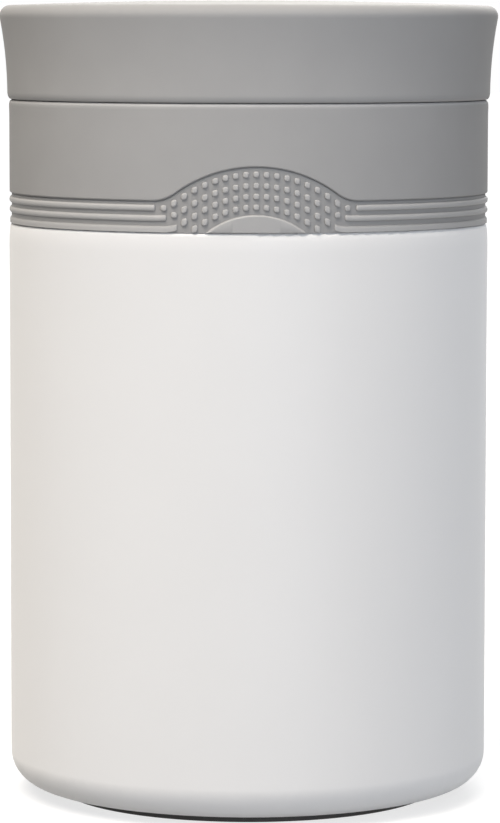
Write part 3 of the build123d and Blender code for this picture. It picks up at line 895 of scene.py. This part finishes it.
finishes = {
    "white_coat": white_coat(),
    "steel": steel(),
    "foil": foil(),
    "solder": solder(),
    "black_rubber": moulded("black_rubber", (0.030, 0.027, 0.024), 0.62, 0.35, 0.012),
    # The lid plastic gets the painted highlight along the rim.
    "grey_plastic": moulded("grey_plastic", GREY, 0.68, 0.22, 0.004, specular=0.12, rim=True),
    "grey_grip": soft_grip_painted_relief(),
    "inner_plastic": moulded("inner_plastic", (0.70, 0.69, 0.66), 0.4, 0.5, 0.003),
    "foam": moulded("foam", (0.82, 0.80, 0.70), 0.85, 0.6, 0.08),
    "silicone": moulded("silicone", (0.58, 0.58, 0.56), 0.42, 0.4, 0.003),
    "vent_plastic": moulded("vent_plastic", (0.135, 0.135, 0.14), 0.45, 0.22, 0.004),
}


WELD_REACH = 0.002
SMOOTH_BELOW = 28  # degrees between faces


def soft_shading():
    """Node group that welds a CAD node's seams and shades it smooth between its real edges."""
    group = bpy.data.node_groups.new("soft_shading", "GeometryNodeTree")
    group.interface.new_socket("Geometry", in_out="INPUT", socket_type="NodeSocketGeometry")
    group.interface.new_socket("Geometry", in_out="OUTPUT", socket_type="NodeSocketGeometry")
    start, end = group.nodes.new("NodeGroupInput"), group.nodes.new("NodeGroupOutput")
    weld = group.nodes.new("GeometryNodeMergeByDistance")
    weld.inputs["Distance"].default_value = WELD_REACH * MM
    smooth = group.nodes.new("GeometryNodeSetShadeSmooth")
    angle = group.nodes.new("GeometryNodeInputMeshEdgeAngle")
    steep = group.nodes.new("FunctionNodeCompare")
    steep.data_type = "FLOAT"
    steep.operation = "GREATER_THAN"
    steep.inputs[1].default_value = radians(SMOOTH_BELOW)
    crisp = group.nodes.new("GeometryNodeSetShadeSmooth")
    crisp.domain = "EDGE"
    crisp.inputs["Shade Smooth"].default_value = False
    links = group.links
    links.new(start.outputs[0], weld.inputs[0])
    links.new(weld.outputs[0], smooth.inputs[0])
    links.new(smooth.outputs[0], crisp.inputs[0])
    links.new(angle.outputs["Unsigned Angle"], steep.inputs[0])
    links.new(steep.outputs[0], crisp.inputs["Selection"])
    links.new(crisp.outputs[0], end.inputs[0])
    return group


shading = soft_shading()
slot_of = {row["node"]: row["material_slot"] for row in frame["record"]["subparts"]}
for name, node in nodes.items():
    node.data.materials.clear()
    node.data.materials.append(finishes[slot_of[name]])
    modifier = node.modifiers.new("soft_shading", "NODES")
    modifier.node_group = shading
    weighted = node.modifiers.new("weighted", "WEIGHTED_NORMAL")
    weighted.keep_sharp = True
for made, slot in (
    (lid_tier, "grey_plastic"), (band, "grey_grip"), (cap_cover, "grey_plastic"),
    (base_foot, "black_rubber"), (spring_coil, "steel"),
):
    made.data.materials.append(finishes[slot])

# ---------------------------------------------------------------- camera
CAMERA_DISTANCE = 762.45
CAMERA_HEIGHT = 144.41
CAMERA_SIDE = 0.33
CAMERA_LENS = 176.94
CAMERA_AZIMUTH = radians(-1.78)
CAMERA_TILT = radians(5.4365)
CAMERA_ROLL = 0.00157

lens = bpy.data.cameras.new("camera")
lens.lens = CAMERA_LENS
lens.sensor_width = 36.0
lens.clip_start = 0.01
camera = bpy.data.objects.new("camera", lens)
bpy.context.scene.collection.objects.link(camera)
bpy.context.scene.camera = camera
toward = Vector((sin(CAMERA_AZIMUTH), -cos(CAMERA_AZIMUTH), 0))
right = Vector((cos(CAMERA_AZIMUTH), sin(CAMERA_AZIMUTH), 0))
place = toward * CAMERA_DISTANCE + right * CAMERA_SIDE + Vector((0, 0, CAMERA_HEIGHT))
camera.matrix_world = (
    Matrix.Translation(place * MM)
    @ Matrix.Rotation(CAMERA_AZIMUTH, 4, "Z")
    @ Matrix.Rotation(pi / 2 - CAMERA_TILT, 4, "X")
    @ Matrix.Rotation(CAMERA_ROLL, 4, "Z")
)

# ---------------------------------------------------------------- studio
JAR_MIDDLE = Vector((0, 0, 0.075))


LAMP_DISTANCE = 1.4
LAMP_SIZE = (0.8, 1.0)


def softbox(name, azimuth, elevation, power, colour=(1, 1, 1)):
    """A large soft lamp that faces the jar; azimuth 0 is in front of it, positive towards +X."""
    light = bpy.data.lights.new(name, "AREA")
    light.shape = "RECTANGLE"
    light.size, light.size_y = LAMP_SIZE
    light.energy = power
    light.color = colour
    lamp = bpy.data.objects.new(name, light)
    bpy.context.scene.collection.objects.link(lamp)
    a, e = radians(azimuth), radians(elevation)
    lamp.location = JAR_MIDDLE + Vector((sin(a) * cos(e), -cos(a) * cos(e), sin(e))) * LAMP_DISTANCE
    lamp.rotation_euler = (JAR_MIDDLE - lamp.location).to_track_quat("-Z", "Y").to_euler()
    return lamp


softbox("key", -45, 60, 15.9, (1.0, 0.935, 0.845))
softbox("top", -15, 60, 9.8, (1.0, 0.941, 0.889))
softbox("front", 15, 10, 10.2, (0.763, 0.853, 1.0))
softbox("back", 165, 35, 16.0)

world = bpy.data.worlds.new("studio")
bpy.context.scene.world = world
world.use_nodes = True
sky = world.node_tree
sky.nodes.clear()


def sky_node(kind, **settings):
    made = sky.nodes.new("ShaderNode" + kind)
    for key, value in settings.items():
        setattr(made, key, value)
    return made


AMBIENT = 0.13
path = sky_node("LightPath")
seen = sky_node("Math", operation="MAXIMUM")
seen_through = sky_node("Math", operation="MAXIMUM")
backdrop = sky_node("Background")
backdrop.inputs["Strength"].default_value = 1.0
backdrop.inputs["Color"].default_value = (1, 1, 1, 1)
ambient = sky_node("Background")
ambient.inputs["Strength"].default_value = AMBIENT
ambient.inputs["Color"].default_value = (1, 1, 1, 1)
mix = sky_node("MixShader")
out = sky_node("OutputWorld")
sky.links.new(path.outputs["Is Camera Ray"], seen.inputs[0])
sky.links.new(path.outputs["Is Transmission Ray"], seen.inputs[1])
sky.links.new(seen.outputs[0], seen_through.inputs[0])
sky.links.new(path.outputs["Is Glossy Ray"], seen_through.inputs[1])
sky.links.new(seen_through.outputs[0], mix.inputs[0])
sky.links.new(ambient.outputs[0], mix.inputs[1])
sky.links.new(backdrop.outputs[0], mix.inputs[2])
sky.links.new(mix.outputs[0], out.inputs[0])

# Floor: pale grey paper, lifted to white where the camera, a reflection or a clear part shows it.
FLOOR_HALF = 8.0
FLOOR_DROP = 0.02 * MM  # keeps the floor from sharing a plane with the pad
FLOOR_GREY = 0.35
FLOOR_LIFT = {"From Min": 0.2, "From Max": 1.2, "To Min": 0.72, "To Max": 1.0}  # by distance from the jar
FLOOR_CORNERS = ((-1, -1), (1, -1), (1, 1), (-1, 1))
floor_mesh = bpy.data.meshes.new("floor")
floor_mesh.from_pydata(
    [(x * FLOOR_HALF, y * FLOOR_HALF, -FLOOR_DROP) for x, y in FLOOR_CORNERS], [], [(0, 1, 2, 3)]
)
floor = bpy.data.objects.new("floor", floor_mesh)
bpy.context.scene.collection.objects.link(floor)
ground = Finish("floor")
grain = ground.bump((ground.noise(0.8, 3.0), 0.01))
paper = ground.add("BsdfDiffuse", Color=(FLOOR_GREY, FLOOR_GREY, FLOOR_GREY, 1), Normal=grain)
far = ground.add("MapRange", Value=ground.radius())
for name, value in FLOOR_LIFT.items():
    far.inputs[name].default_value = value
glow = ground.add("Emission", Color=(1, 1, 1, 1), Strength=far.outputs["Result"])
light_path = ground.add("LightPath")
lifted = ground.add("AddShader")
ground.feed(lifted.inputs[0], paper.outputs[0])
ground.feed(lifted.inputs[1], glow.outputs[0])
both = ground.add("MixShader")
shown = ground.maths("MAXIMUM", light_path.outputs["Is Camera Ray"], light_path.outputs["Is Glossy Ray"])
ground.feed(both.inputs[0], ground.maths("MAXIMUM", shown, light_path.outputs["Is Transmission Ray"]))
ground.feed(both.inputs[1], paper.outputs[0])
ground.feed(both.inputs[2], lifted.outputs[0])
floor.data.materials.append(ground.done(both))

bpy.context.scene.view_settings.view_transform = "Standard"
